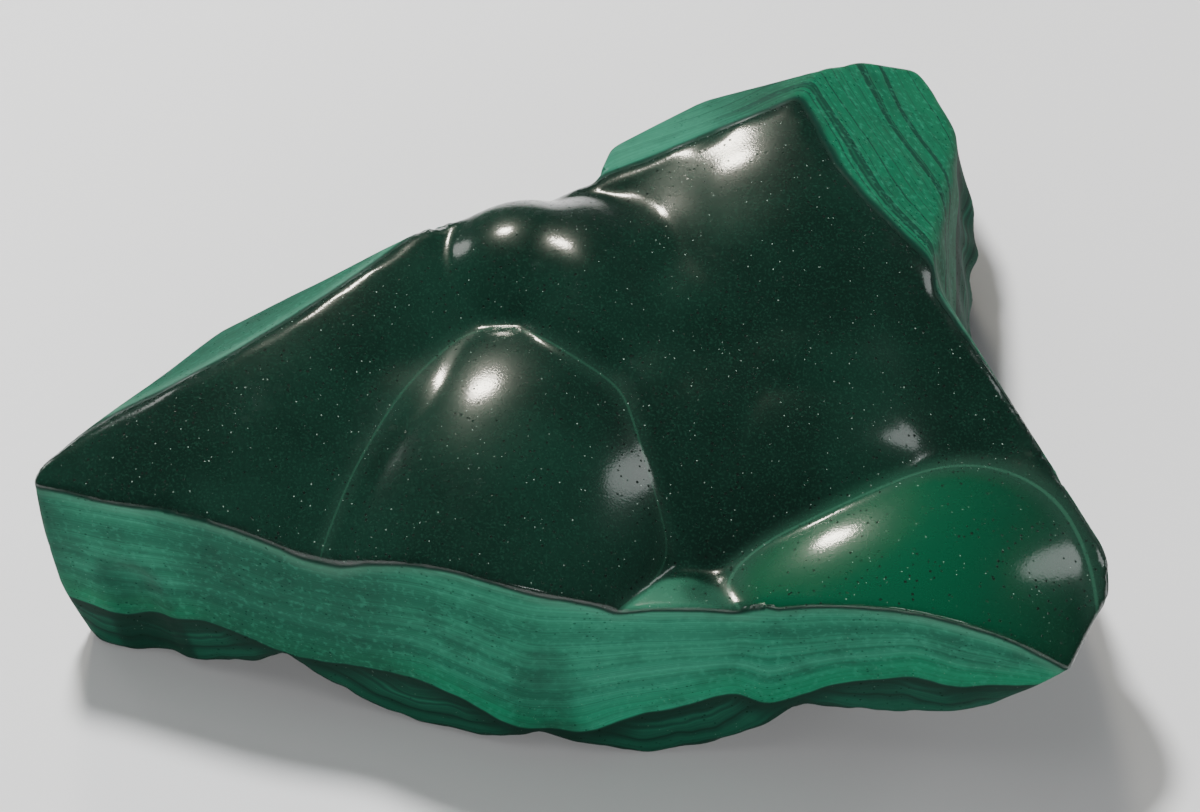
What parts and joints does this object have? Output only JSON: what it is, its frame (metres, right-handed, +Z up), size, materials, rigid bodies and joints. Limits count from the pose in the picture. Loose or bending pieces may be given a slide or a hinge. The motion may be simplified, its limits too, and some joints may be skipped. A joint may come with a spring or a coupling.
{
  "type": "malachite specimen",
  "caption": "Sawn and polished piece of banded malachite: rounded domes on top, flat sawn sides, lying on its lobed underside.",
  "frame": {"origin": "centre of the bounding box in X and Y, at the height of the flats that the stone rests on", "axes": "+X along the stone's length, towards its blunt end; +Y from the long sawn front face to the back; +Z up, through the polished domes"},
  "size_m": [0.1146, 0.0872, 0.0346],
  "materials": {
    "malachite": "polished"
  },
  "bodies": {
    "root": {"malachite_specimen": "malachite"}
  },
  "joints": []
}
